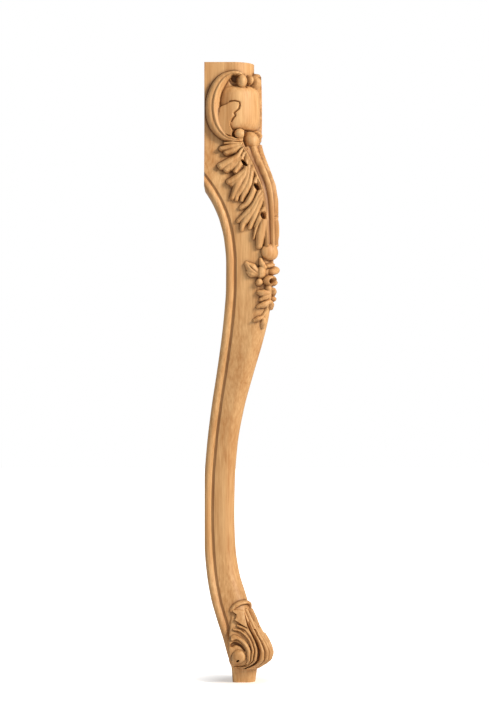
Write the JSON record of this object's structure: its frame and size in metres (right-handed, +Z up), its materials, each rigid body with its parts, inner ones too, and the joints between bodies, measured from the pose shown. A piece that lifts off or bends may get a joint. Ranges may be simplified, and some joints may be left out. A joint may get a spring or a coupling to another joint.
{
  "type": "furniture leg",
  "caption": "Carved wooden cabriole leg with a scroll cartouche, acanthus knee and scroll foot, for a table, desk or chair with aprons.",
  "frame": {"origin": "on the underside of the foot block, at the centre of its square", "axes": "+Z up the leg; X and Y along the two aprons, which meet the post from -X and from +Y; the carved knee looks out between +X and -Y"},
  "size_m": [0.0908, 0.0908, 0.75],
  "materials": {
    "wood": "sanded, unfinished"
  },
  "bodies": {
    "root": {"leg": "wood"}
  },
  "joints": []
}
